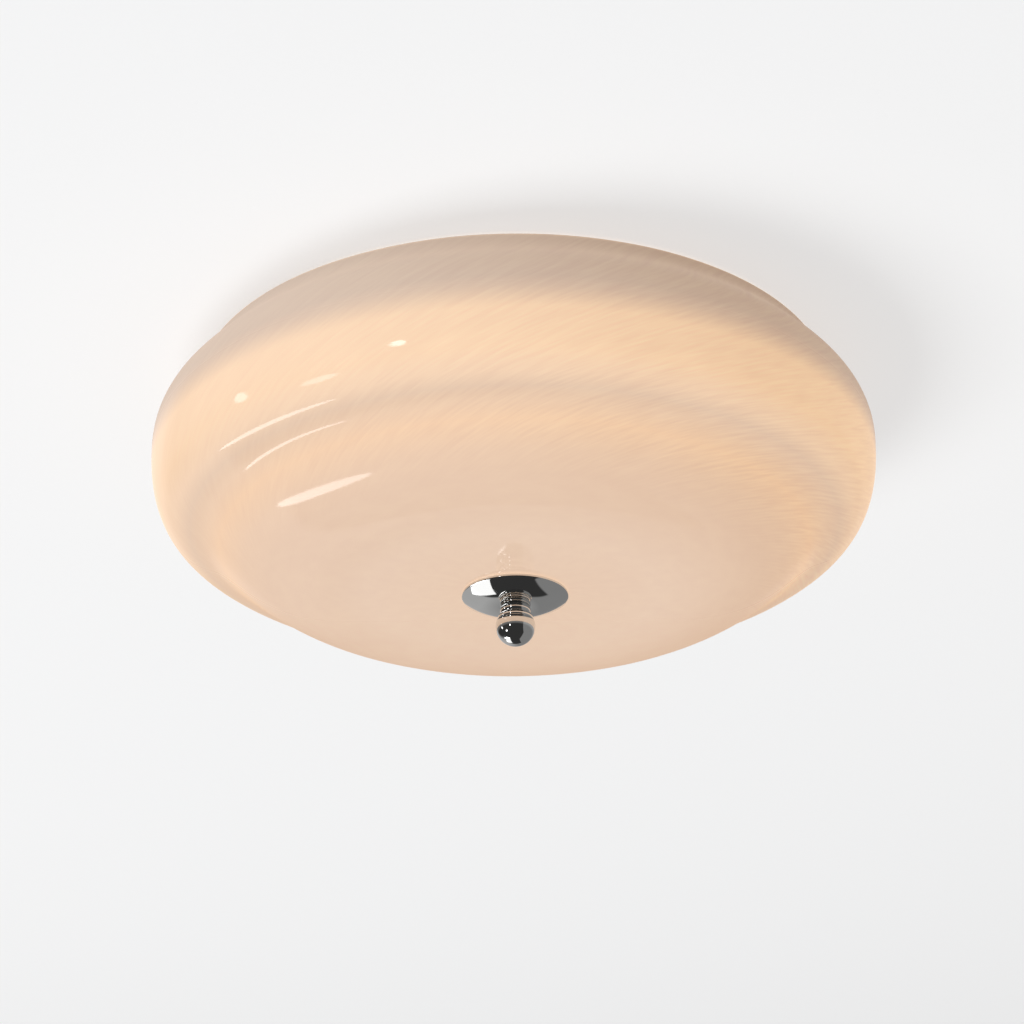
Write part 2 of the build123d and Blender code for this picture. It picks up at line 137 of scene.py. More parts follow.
class FinialSettings(bpy.types.PropertyGroup):
    """Chromed cap and knob under the glass."""

    cap_radius: length("Cap radius", "Radius of the cap", 29.0)
    cap_edge: length("Cap edge", "Height of the cap's thin rim", 1.2)
    cap_height: length("Cap height", "Height of the cap", 7.0)
    cap_land_radius: length("Cap land", "Radius of the flat that the knob bears on", 9.3)
    cap_crown: length("Cap crown", "Rise of the cap's dome", 1.45)
    cap_wall: length("Cap wall", "Thickness of the cap", 2.0)
    cap_lip: length("Cap lip", "Width of the lip round the gasket", 1.5)
    cap_seat: length("Cap seat", "Width of the gasket's seat", 3.1)
    cap_seat_depth: length("Cap seat depth", "Depth of the gasket's seat", 1.0)
    upper_bead_radius: length("Upper bead", "Radius of the bead under the cap", 8.4)
    lower_bead_radius: length("Lower bead", "Radius of the bead over the ball", 9.5)
    bead_height: length("Bead height", "Height of one bead", 4.1)
    bead_groove: length("Bead groove", "Depth of the grooves beside the beads", 0.7)
    ball_radius: length("Ball radius", "Radius of the ball", 10.8)
    ball_drop: length("Ball drop", "Drop from the cap to the ball's middle", 11.5)
    knob_bore: length("Knob bore", "Radius of the knob's blind bore", 5.08)
    bore_depth: length("Bore depth", "Depth of the knob's blind bore", 15.0)
    edge_softness: length("Edge softness", "Rounding of the turned edges", 0.15)


class FittingSettings(bpy.types.PropertyGroup):
    """Threads, nuts, washers and seals behind the glass."""

    rod_radius: length("Rod radius", "Outer radius of the centre rod", 5.0)
    rod_bore: length("Rod bore", "Radius of the rod's bore", 3.4)
    rod_pitch: length("Rod pitch", "Pitch of the rod's thread", 1.0)
    stud_radius: length("Stud radius", "Outer radius of the two studs", 2.0)
    stud_pitch: length("Stud pitch", "Pitch of the studs' thread", 0.7)
    rod_nut_flats: length("Rod nut", "Width across the flats of the rod's nuts", 14.0)
    stud_nut_flats: length("Stud nut", "Width across the flats of the studs' nuts", 7.0)
    holder_nut_flats: length("Holder nut", "Width across the flats of the holders' nuts", 5.5)
    holder_screw_radius: length("Holder screw", "Radius of the holders' screws", 1.5)
    holder_screw_spacing: length("Holder screws apart", "Distance between a holder's screws", 27.0)
    cap_nut_hex: length("Cap nut hexagon", "Height of a cap nut's hexagon", 3.5)
    edge_softness: length("Edge softness", "Rounding of stamped edges", 0.15)


class LampSettings(bpy.types.PropertyGroup):
    """Bulbs on their circle, and the leads to their holders."""

    count: bpy.props.IntProperty(name="Bulbs", description="Number of bulbs", default=4, min=1)
    circle_radius: length("Circle radius", "Radius of the circle of bulbs", 85.0)
    start_angle: turn_angle("Start angle", "Direction of the first bulb", 45.0)
    capsule_radius: length("Capsule radius", "Radius of a bulb's glass capsule", 8.0)
    lead_radius: length("Lead radius", "Radius of a sleeved lead", 1.5)
    lead_turn: length("Lead turn", "How far from the middle a lead turns to the block", 42.0)
    lead_straight: length("Lead straight", "How far a lead runs straight out of its grommet", 4.0)
    grommet_bore: length("Grommet bore", "Radius of a grommet's bore", 1.6)
    grommet_neck: length("Grommet neck", "Radius of a grommet in the sheet", 3.5)


class FinishSettings(bpy.types.PropertyGroup):
    """Colours of the finishes."""

    glass_body: colour("Glass", "Opal glass by outside light", 0.46, 0.42, 0.37)
    glass_streak: colour("Glass streak", "Darker streaks in the glass", 0.42, 0.37, 0.33)
    chrome: colour("Chrome", "Polished chrome", 0.80, 0.80, 0.79)
    enamel: colour("Enamel", "White enamel of the pan", 0.82, 0.81, 0.78)
    zinc: colour("Zinc", "Plated steel", 0.60, 0.61, 0.62)
    brass: colour("Brass", "Brass screws", 0.71, 0.52, 0.23)
    sleeve: colour("Sleeve", "Woven sleeve of the leads", 0.80, 0.78, 0.72)
    ceramic: colour("Ceramic", "Ceramic of the lamp holders", 0.80, 0.76, 0.68)
    plastic: colour("Plastic", "White plastic", 0.80, 0.79, 0.75)
    lamp_light: colour("Lamp light", "Light of the bulbs", 1.0, 0.80, 0.55)


class StageSettings(bpy.types.PropertyGroup):
    """Ceiling, floor, room and camera."""

    view_distance: length("View distance", "Distance from the camera to the light", 1434.0)
    view_elevation: turn_angle("View elevation", "How far the camera looks up", 25.6)
    view_depth: length("View depth", "Depth of the point that the camera looks at", 75.0)
    view_roll: turn_angle("View roll", "Roll of the camera", -0.6)
    focal_pixels: share("Focal length", "Focal length in pixels of a square picture", 2600.0)
    picture_pixels: share("Picture", "Width of the picture in pixels", 1024.0)
    centre_x: share("Centre across", "Column of the picture that the camera looks along", 514.3)
    centre_y: share("Centre down", "Row of the picture that the camera looks along", 516.0)
    ceiling_size: length("Ceiling", "Width of the ceiling and of the floor", 14000.0)
    floor_drop: length("Floor drop", "Height of the room", 2500.0)
    ceiling_paint: colour("Ceiling paint", "Paint of the ceiling", 0.43, 0.43, 0.43)
    ceiling_light: share("Ceiling light", "Even light of the ceiling, which softens its shadows", 0.44)
    floor_paint: colour("Floor paint", "Paint of the floor", 0.80, 0.80, 0.79)
    room_seen: share("Room", "Brightness of the room as the camera sees it", 0.9)
    room_light: share("Room light", "Even light that the room throws", 0.2)


# Node trees written as Python expressions


class Term:
    """A socket's value in an expression, where each operator adds its Math node."""

    def __init__(self, tree, socket):
        self.tree = tree
        self.socket = socket

    def __add__(self, other):
        return self.tree.maths("ADD", self, other)

    __radd__ = __add__

    def __sub__(self, other):
        return self.tree.maths("SUBTRACT", self, other)

    def __rsub__(self, other):
        return self.tree.maths("SUBTRACT", other, self)

    def __mul__(self, other):
        return self.tree.maths("MULTIPLY", self, other)

    __rmul__ = __mul__

    def __truediv__(self, other):
        return self.tree.maths("DIVIDE", self, other)

    def __rtruediv__(self, other):
        return self.tree.maths("DIVIDE", other, self)

    def __pow__(self, other):
        return self.tree.maths("POWER", self, other)

    def between(self, low, high):
        """This value counted from 0 at low to 1 at high, and held there outside."""
        sockets = {"Value": self, "From Min": low, "From Max": high}
        return self.tree.node("ShaderNodeMapRange", {"clamp": True}, sockets)


class Tree:
    """Node tree of a material or a world."""

    def __init__(self, owner):
        owner.use_nodes = True
        self.owner = owner
        self.nodes = owner.node_tree.nodes
        self.links = owner.node_tree.links
        self.nodes.clear()

    def node(self, kind, settings=None, sockets=None, output=0):
        """Add a node: its settings first, then the values or links of its sockets."""
        added = self.nodes.new(kind)
        for name, value in (settings or {}).items():
            if name == "stops":
                self.set_stops(added.color_ramp, value)
            else:
                setattr(added, name, value)
        for name, value in (sockets or {}).items():
            if isinstance(value, Term):
                self.links.new(value.socket, added.inputs[name])
            else:
                added.inputs[name].default_value = value
        return Term(self, added.outputs[output]) if added.outputs else None

    @staticmethod
    def set_stops(ramp, stops):
        """Give a colour ramp its stops, each a place from 0 to 1 and a colour."""
        while len(ramp.elements) < len(stops):
            ramp.elements.new(1.0)
        for element, (place, shade) in zip(ramp.elements, stops):
            element.position = place
            element.color = (*shade, 1.0)

    def maths(self, operation, *values):
        """Values through one Math node."""
        return self.node("ShaderNodeMath", {"operation": operation}, dict(enumerate(values)))

    def place(self):
        """Object coordinates of the point."""
        return self.node("ShaderNodeTexCoord", output="Object")

    def split(self, vector):
        """The three parts of a vector."""
        return [self.node("ShaderNodeSeparateXYZ", {}, {0: vector}, output=axis) for axis in range(3)]

    def noise(self, scale, detail=2.0, roughness=0.5, parts=None):
        """Noise from 0 to 1, over the piece or over a vector's three parts."""
        vector = self.node("ShaderNodeCombineXYZ", {}, dict(enumerate(parts))) if parts else self.place()
        sockets = {"Vector": vector, "Scale": scale, "Detail": detail, "Roughness": roughness}
        return self.node("ShaderNodeTexNoise", {}, sockets, output="Fac")

    def mixed(self, factor, first, second, blend="MIX"):
        """A mix of two colours."""
        settings = {"data_type": "RGBA", "blend_type": blend}
        sockets = {0: factor, 6: opaque(first), 7: opaque(second)}
        return self.node("ShaderNodeMix", settings, sockets, output=2)

    def dulled(self, factor, paint, left):
        """A paint that goes down to what is left of it as the factor rises."""
        return self.mixed(factor, paint, [left * part for part in paint])

    def ramp(self, factor, stops):
        """A colour from a ramp."""
        return self.node("ShaderNodeValToRGB", {"stops": stops}, {0: factor})

    def bump(self, height, millimetres):
        """A normal from a height that counts from 0 to 1."""
        sockets = {"Height": height, "Distance": millimetres * MM, "Strength": 1.0}
        return self.node("ShaderNodeBump", {}, sockets)

    def principled(self, **sockets):
        """A principled shader, with its sockets named with underscores for spaces."""
        named = {name.replace("_", " "): opaque(value) for name, value in sockets.items()}
        return self.node("ShaderNodeBsdfPrincipled", {}, named)

    def surface(self, **sockets):
        """Close a material with one principled shader."""
        self.node("ShaderNodeOutputMaterial", {}, {"Surface": self.principled(**sockets)})
        return self.owner


def opaque(value):
    """A colour with its alpha, or any other value as it is."""
    if isinstance(value, (Term, float, int)):
        return value
    return (*value[:3], 1.0)


def new_tree(name):
    """The node tree of a new material."""
    return Tree(bpy.data.materials.new(name))


def finishes():
    """The colours of the finishes."""
    return bpy.context.scene.light_finish


# Finishes

STREAK_SLANT = radians(28)
FLOOR_SHARE = 0.6
GLOW_SPAN = 0.25
# Painted glow: the bulbs' light through the opal glass is painted into the glass as emission, in bands down
# the profile. The bands go dim at the neck as the pan's painted shadow, and dip at the step between the
# swells as painted shade.
OUTER_PAINTED_GLOW = (
    (0.056, (0.26, 0.15, 0.08)),
    (0.100, (0.42, 0.29, 0.20)),
    (0.160, (0.37, 0.24, 0.155)),
    (0.185, (0.425, 0.265, 0.16)),
    (0.230, (0.65, 0.40, 0.205)),
    (0.320, (0.64, 0.385, 0.185)),
    (0.376, (0.58, 0.355, 0.19)),
    (0.410, (0.48, 0.295, 0.17)),
    (0.488, (0.58, 0.325, 0.145)),
    (0.560, (0.51, 0.30, 0.16)),
    (0.620, (0.49, 0.295, 0.17)),
    (0.780, (0.54, 0.36, 0.24)),
    (0.950, (0.53, 0.345, 0.22)),
)
# Painted glow of the glass's inner faces, where the bulbs light them.
INNER_PAINTED_GLOW = ((0.05, (0.40, 0.27, 0.16)), (0.22, (0.62, 0.43, 0.26)), (0.96, (0.66, 0.47, 0.29)))


def opal_glass(name, glow):
    """Opal glass lit from behind, with that light painted in as glow: bands down the profile, dimmer as
    painted shade under the pan and at the step, and streaks that wind round it.
    """
    glass = bpy.context.scene.light_glass
    tree = new_tree(name)
    x, y, z = tree.split(tree.place())
    radius = (x * x + y * y) ** 0.5
    along = FLOOR_SHARE * (glass.swell_radius - radius) - z
    wind = along / (glass.swell_radius * tan(STREAK_SLANT))
    wind_cos = tree.maths("COSINE", wind)
    wind_sin = tree.maths("SINE", wind)
    across_x = (x * wind_cos - y * wind_sin) / radius
    across_y = (y * wind_cos + x * wind_sin) / radius
    fine = tree.noise(1.0, parts=(across_x * 52, across_y * 52, along * 100))
    wisps = tree.noise(1.0, parts=(x / radius * 9, y / radius * 9, along * 210))
    clouds = tree.noise(14.0)
    on_floor = along.between(0.125, 0.165)
    gathered = x.between(-0.20, 0.12) * 0.75 + 0.25
    on_wall = (fine - 0.5) * gathered * (1.0 - on_floor) * 2.6
    streak = (on_wall + (wisps - 0.5) * on_floor * 0.7 + (clouds - 0.5) * 0.5 + 0.5).between(0.0, 1.0)
    tint = tree.mixed(streak, (0.94, 0.91, 0.92), (1.0, 1.0, 0.97))
    satin = along.between(0.052, 0.036) * 0.4 + y.between(0.0, 0.07) * 0.4
    # The emission below is painted light: the glow bands, streaked by the glass.
    return tree.surface(
        Base_Color=tree.mixed(streak, finishes().glass_streak, finishes().glass_body),
        Roughness=0.05 + clouds * 0.03 + satin,
        IOR=1.5,
        Emission_Color=tree.mixed(1.0, tree.ramp(along / GLOW_SPAN, glow), tint, "MULTIPLY"),
        Emission_Strength=1.0,
        Normal=tree.bump(clouds + fine * 0.1, 0.05),
    )


@cache
def polished_chrome():
    """Bright chrome with faint finger marks."""
    tree = new_tree("polished_chrome")
    smears = tree.noise(90.0, detail=3.0)
    shade = tree.dulled(smears, finishes().chrome, 0.94)
    return tree.surface(Base_Color=shade, Metallic=1.0, Roughness=0.025 + smears**4 * 0.25)


@cache
def white_enamel():
    """Baked enamel on pressed steel, with a little orange peel and dust."""
    tree = new_tree("white_enamel")
    dust = tree.noise(18.0, detail=4.0, roughness=0.6)
    peel = tree.noise(700.0, detail=1.0)
    shade = tree.dulled(dust, finishes().enamel, 0.93)
    return tree.surface(Base_Color=shade, Roughness=0.28 + dust * 0.18, Normal=tree.bump(peel, 0.03))


@cache
def plated_zinc():
    """Zinc plating: a mottled blue and yellow sheen over drawn steel."""
    tree = new_tree("plated_zinc")
    x, y, z = tree.split(tree.place())
    mottle = tree.noise(55.0, detail=3.0, roughness=0.6)
    drawn = tree.bump(tree.noise(1.0, parts=(x * 60, y * 900, z * 900)), 0.02)
    sheen = ((0.35, finishes().zinc), (0.62, (0.66, 0.62, 0.52)), (0.8, (0.55, 0.58, 0.63)))
    shade = tree.ramp(mottle, sheen)
    return tree.surface(Base_Color=shade, Metallic=1.0, Roughness=0.26 + mottle * 0.2, Normal=drawn)


@cache
def turned_brass():
    """Satin brass, darker where it has dulled."""
    tree = new_tree("turned_brass")
    dull = tree.noise(220.0, detail=3.0)
    shade = tree.dulled(dull, finishes().brass, 0.7)
    return tree.surface(Base_Color=shade, Metallic=1.0, Roughness=0.24 + dull * 0.25)


@cache
def soft_rubber(name, dark, pale):
    """Moulded rubber or silicone with a dusty bloom."""
    tree = new_tree(name)
    bloom = tree.noise(160.0, detail=4.0, roughness=0.65)
    shade = tree.mixed(bloom, dark, pale)
    return tree.surface(Base_Color=shade, Roughness=0.55 + bloom * 0.2, Normal=tree.bump(bloom, 0.04))


@cache
def moulded_plastic():
    """Matt moulded plastic."""
    tree = new_tree("moulded_plastic")
    grain = tree.noise(1500.0)
    shade = tree.dulled(tree.noise(60.0), finishes().plastic, 0.92)
    return tree.surface(Base_Color=shade, Roughness=0.42 + grain * 0.12, Normal=tree.bump(grain, 0.02))


@cache
def fired_ceramic():
    """Unglazed ceramic with fine specks."""
    tree = new_tree("fired_ceramic")
    grain = tree.noise(900.0, detail=3.0, roughness=0.6)
    spots = tree.noise(420.0, detail=1.0)
    specks = tree.ramp(spots, ((0.24, (0.55, 0.50, 0.42)), (0.30, (1.0, 1.0, 1.0))))
    shade = tree.mixed(1.0, finishes().ceramic, specks, "MULTIPLY")
    return tree.surface(Base_Color=shade, Roughness=0.5 + grain * 0.2, Normal=tree.bump(grain, 0.05))


@cache
def frosted_capsule():
    """Frosted bulb glass with an uneven glow."""
    tree = new_tree("frosted_capsule")
    frost = tree.noise(1200.0)
    heat = tree.noise(70.0, detail=1.0)
    return tree.surface(
        Base_Color=tree.mixed(frost, (0.86, 0.84, 0.79), (0.78, 0.75, 0.69)),
        Roughness=0.45 + frost * 0.15,
        Emission_Color=tree.dulled(heat, finishes().lamp_light, 0.8),
        Emission_Strength=1.4,
        Normal=tree.bump(frost, 0.02),
    )


@cache
def woven_sleeve():
    """Braided glass-fibre sleeve: two sets of crossing strands, with painted shade in the gaps between them.
    """
    tree = new_tree("woven_sleeve")
    x, y, z = tree.split(tree.place())
    strand = 2 * pi / (1.1 * MM)
    first = tree.maths("SINE", (x + y + z) * strand) * 0.5 + 0.5
    second = tree.maths("SINE", (x - y - z) * strand) * 0.5 + 0.5
    weave = tree.maths("MAXIMUM", first, second)
    # Painted shade: the sleeve is darker between the strands, as shade in the gaps of the weave.
    shade = tree.dulled(1.0 - weave, finishes().sleeve, 0.62)
    return tree.surface(Base_Color=shade, Roughness=0.85 - weave * 0.1, Normal=tree.bump(weave, 0.12))


def clear_silicone():
    """Milky silicone of the gaskets."""
    return soft_rubber("clear_silicone", (0.62, 0.60, 0.55), (0.74, 0.72, 0.67))


def black_rubber():
    """Black rubber of the grommets."""
    return soft_rubber("black_rubber", (0.018, 0.018, 0.019), (0.05, 0.05, 0.05))


# Modelling helpers


def clear_selection():
    """Leave nothing selected."""
    bpy.ops.object.select_all(action="DESELECT")


def select_only(piece):
    """Make a piece the one that operators act on."""
    clear_selection()
    piece.select_set(True)
    bpy.context.view_layer.objects.active = piece


def open_mesh(piece, mode):
    """Open a piece in edit mode, with nothing of it selected."""
    select_only(piece)
    bpy.ops.object.mode_set(mode="EDIT")
    bpy.ops.mesh.select_mode(type=mode)
    bpy.ops.mesh.select_all(action="DESELECT")


def pick(piece, mode, chosen):
    """Open a piece in edit mode, with those of its edges or faces selected that a test chooses."""
    open_mesh(piece, mode)
    mesh = bmesh.from_edit_mesh(piece.data)
    for part in mesh.edges if mode == "EDGE" else mesh.faces:
        part.select = chosen(part)
    bmesh.update_edit_mesh(piece.data)


def draw_outline(name, outline):
    """A new piece, in edit mode, that is an outline of (radius, height) points in the XZ plane."""
    clear_selection()
    bpy.ops.mesh.primitive_circle_add(vertices=3, radius=MM, enter_editmode=True)
    bpy.context.object.name = name
    bpy.ops.mesh.select_mode(type="VERT")
    bpy.ops.mesh.select_all(action="SELECT")
    bpy.ops.mesh.merge(type="CENTER")
    start_radius, start_height = outline[0]
    bpy.ops.transform.translate(value=(start_radius, 0, start_height))
    for (radius, height), (next_radius, next_height) in pairwise(outline):
        step = (next_radius - radius, 0, next_height - height)
        bpy.ops.mesh.extrude_vertices_move(TRANSFORM_OT_translate={"value": step})
    return bpy.context.object


def merge_doubles():
    """Merge the points of the piece in edit mode that lie on each other."""
    bpy.ops.mesh.select_all(action="SELECT")
    bpy.ops.mesh.remove_doubles(threshold=MERGE_DISTANCE)


def close_mesh():
    """Merge the doubles of the piece in edit mode, turn its faces outwards and leave edit mode."""
    merge_doubles()
    bpy.ops.mesh.normals_make_consistent(inside=False)
    bpy.ops.object.mode_set(mode="OBJECT")
    piece = bpy.context.object
    if not piece.data.polygons:
        raise RuntimeError(f"{piece.name} has no faces")


def turn(name, outline, steps):
    """Turn an outline of (radius, height) points round the Z axis."""
    piece = draw_outline(name, outline)
    bpy.ops.mesh.select_all(action="SELECT")
    bpy.ops.mesh.spin(steps=steps, angle=2 * pi, center=(0, 0, 0), axis=(0, 0, 1))
    close_mesh()
    return piece


def soften(piece, width=0.0, segments=2):
    """Round the sharp edges of a piece and shade it smooth."""
    if width > 0:
        open_mesh(piece, "EDGE")
        bpy.ops.mesh.edges_select_sharp(sharpness=SHARP_ANGLE)
        bpy.ops.mesh.bevel(offset=width, segments=segments, affect="EDGES", clamp_overlap=True)
        bpy.ops.object.mode_set(mode="OBJECT")
    select_only(piece)
    bpy.ops.object.shade_smooth_by_angle(angle=SMOOTH_ANGLE)
    return piece


def join_pieces(name, pieces):
    """Join pieces into one."""
    select_only(pieces[0])
    for piece in pieces[1:]:
        piece.select_set(True)
    if len(pieces) > 1:
        bpy.ops.object.join()
    pieces[0].name = name
    return pieces[0]


def copies_at(piece, places):
    """One piece made of a copy of another at each place, given as a matrix."""
    copies = []
    for matrix in places:
        copy = piece.copy()
        copy.data = piece.data.copy()
        copy.data.transform(matrix)
        bpy.context.collection.objects.link(copy)
        copies.append(copy)
    name = piece.name
    bpy.data.objects.remove(piece)
    return join_pieces(name, copies)


def dress(piece, *materials):
    """Give a piece its finishes."""
    piece.data.materials.clear()
    for material in materials:
        piece.data.materials.append(material)


def fit(piece, node, *materials):
    """Finish a new piece and let it ride on a node's body, in the node's place."""
    dress(piece, *materials)
    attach(piece, BODY_OF[node])
    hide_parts(node)


def bowed(start, end, rise, count):
    """Points on the arc from start to end whose middle stands off the chord by rise, left of the way."""
    start, end = Vector(start), Vector(end)
    chord = end - start
    half = chord.length / 2
    radius = (half * half + rise * rise) / (2 * rise)
    left = Vector((-chord.y, chord.x)).normalized()
    centre = (start + end) / 2 + left * (rise - radius)
    sweep = 2 * asin(half / radius)
    steps = [Matrix.Rotation(-sweep * i / count, 2) for i in range(count + 1)]
    return [tuple(centre + step @ (start - centre)) for step in steps]


def ball_side(middle, radius, start, count):
    """Points down a ball's side, from a direction in radians to the last one before its foot."""
    angles = [start + (-pi / 2 - start) * i / count for i in range(count)]
    return [(radius * cos(a), middle + radius * sin(a)) for a in angles]


def ring_outline(inner, outer, low, high):
    """Closed outline of a flat ring."""
    return [(inner, low), (outer, low), (outer, high), (inner, high), (inner, low)]


def flat_ring(name, inner, outer, low, high, softness):
    """A washer or gasket."""
    return soften(turn(name, ring_outline(inner, outer, low, high), TURNED_STEPS), softness, segments=3)


def cut_off(place, outwards):
    """Cut the piece in edit mode along a plane, drop what is outside and close the cut."""
    bpy.ops.mesh.select_all(action="SELECT")
    bpy.ops.mesh.bisect(
        plane_co=place, plane_no=outwards, use_fill=True, clear_outer=True, threshold=MERGE_DISTANCE
    )


def hexagon_nut(name, flats, bore, low, high):
    """A hexagon nut: a turned blank with chamfered faces, cut flat on six sides."""
    corner = flats / sqrt(3)
    face = 0.96 * flats / 2
    drop = (corner - face) * tan(radians(30))
    mouth = 0.12 * bore
    outline = [
        (bore, low + mouth),
        (bore + mouth, low),
        (face, low),
        (corner, low + drop),
        (corner, high - drop),
        (face, high),
        (bore + mouth, high),
        (bore, high - mouth),
        (bore, low + mouth),
    ]
    nut = turn(name, outline, TURNED_STEPS)
    open_mesh(nut, "VERT")
    for side in range(6):
        outwards = Vector((cos(side * pi / 3), sin(side * pi / 3), 0))
        cut_off(outwards * flats / 2, outwards)
    close_mesh()
    return soften(nut)


def thread_skin(name, radius, pitch, low, high):
    """A rolled thread wound up a rod, trimmed and closed at both ends."""
    root = radius - 0.5 * pitch
    start = low - pitch
    crest = [(radius, start + way_up * pitch) for way_up in (0.42, 0.58)]
    skin = draw_outline(name, [(root, start), *crest, (root, start + pitch)])
    bpy.ops.object.mode_set(mode="OBJECT")
    winding = skin.modifiers.new("winding", "SCREW")
    winding.axis = "Z"
    winding.angle = 2 * pi
    winding.screw_offset = pitch
    winding.steps = THREAD_STEPS
    winding.render_steps = THREAD_STEPS
    winding.iterations = ceil((high - low) / pitch) + 1
    winding.use_merge_vertices = False
    bpy.ops.object.modifier_apply(modifier=winding.name)
    open_mesh(skin, "VERT")
    merge_doubles()
    for level, outwards in ((high, 1), (low, -1)):
        cut_off((0, 0, level), (0, 0, outwards))
    close_mesh()
    return skin


def stations():
    """Places and turns of the bulbs, with X along their circle."""
    lamps = bpy.context.scene.light_lamps
    places = []
    for index in range(lamps.count):
        angle = lamps.start_angle + index * 2 * pi / lamps.count
        place = (lamps.circle_radius * cos(angle), lamps.circle_radius * sin(angle), 0)
        places.append(Matrix.Translation(place) @ Matrix.Rotation(angle + pi / 2, 4, "Z"))
    return places


def side_by_side(half):
    """Two places on the X axis, that far from its middle."""
    return [Matrix.Translation((side * half, 0, 0)) for side in (-1, 1)]


def stud_places():
    """Places of the two studs."""
    low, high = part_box("bracket_studs")
    return side_by_side((high.x - low.x) / 2 - bpy.context.scene.light_fittings.stud_radius)


def holder_screw_places():
    """Places of the holders' screws."""
    pair = side_by_side(bpy.context.scene.light_fittings.holder_screw_spacing / 2)
    return [station @ place for station in stations() for place in pair]


# Pieces


class CEILINGLIGHT_OT_shade(bpy.types.Operator):
    """Blow the stepped glass shade from its profile of three curves"""

    bl_idname = "ceilinglight.shade"
    bl_label = "Glass shade"

    def execute(self, context):
        glass = context.scene.light_glass
        outer = self.wall_points(glass, inset=0, count=48)
        inner = self.wall_points(glass, inset=glass.wall, count=26)
        under = -glass.depth
        over = under + glass.wall
        rings = 14
        inwards = glass.hole_radius - glass.floor_radius
        floor = [glass.floor_radius + inwards * (i + 1) / rings for i in range(rings)]
        floor_points = [(r, under) for r in floor] + [(r, over) for r in reversed(floor)]
        piece = turn("blown_shade", outer + floor_points + inner[::-1] + outer[:1], FINE_STEPS)
        self.round_rim(piece, glass)
        self.wave(piece, glass)
        outside = opal_glass("opal_glass", OUTER_PAINTED_GLOW)
        inside = opal_glass("opal_glass_inside", INNER_PAINTED_GLOW)
        fit(soften(piece), "glass_shade", outside, inside)
        self.mark_inside(piece, glass)
        return {"FINISHED"}

    @staticmethod
    def wall_points(glass, inset, count):
        """Points down the three curves of the wall, set in from its outer face."""
        leans = (glass.rim_flare, 0, -glass.ledge_slope, -pi / 2)
        ways = [Vector((sin(lean), -cos(lean))) for lean in leans]
        places = (
            (glass.rim_radius, -glass.rim_gap),
            (glass.swell_radius, -glass.swell_depth),
            (glass.ledge_radius, -glass.ledge_depth),
            (glass.floor_radius, -glass.depth),
        )
        ends = [Vector(place) + Vector((way.y, -way.x)) * inset for place, way in zip(places, ways)]
        holds = (
            (glass.rim_hold, glass.swell_hold_above),
            (glass.swell_hold_below, glass.ledge_hold_above),
            (glass.ledge_hold_below, glass.floor_hold),
        )
        points = [tuple(ends[0])]
        for (start, end), (way, next_way), (leave, arrive) in zip(pairwise(ends), pairwise(ways), holds):
            curve = interpolate_bezier(start, start + way * leave, end - next_way * arrive, end, count)
            points += [tuple(point) for point in curve[1:]]
        return points

    @staticmethod
    def round_rim(piece, glass):
        """Round the rim's two edges."""
        rim_foot = -glass.rim_gap - glass.wall * sin(glass.rim_flare) - 0.1 * MM

        def at_rim(edge):
            first, second = (vertex.co.z for vertex in edge.verts)
            level = min(first, second) > rim_foot and abs(first - second) < MERGE_DISTANCE
            return level and len(edge.link_faces) == 2 and edge.calc_face_angle() > radians(60)

        pick(piece, "EDGE", at_rim)
        bpy.ops.mesh.bevel(offset=glass.rim_rounding, segments=4, affect="EDGES")
        bpy.ops.object.mode_set(mode="OBJECT")

    @staticmethod
    def wave(piece, glass):
        """Give the wall the slow waves of blown glass, inside its measured size."""
        clouds = bpy.data.textures.new("blown_waves", "CLOUDS")
        clouds.noise_scale = glass.wave_size
        clouds.noise_depth = 1
        waves = piece.modifiers.new("waves", "DISPLACE")
        waves.texture = clouds
        waves.texture_coords = "LOCAL"
        waves.mid_level = 1.0
        waves.strength = glass.waviness
        bpy.ops.object.modifier_apply(modifier=waves.name)

    @staticmethod
    def mark_inside(piece, glass):
        """Give the faces that look inwards the second finish."""
        middle = Vector((0, 0, -glass.depth / 2))
        for face in piece.data.polygons:
            if face.normal.dot(face.center - middle) < 0:
                face.material_index = 1


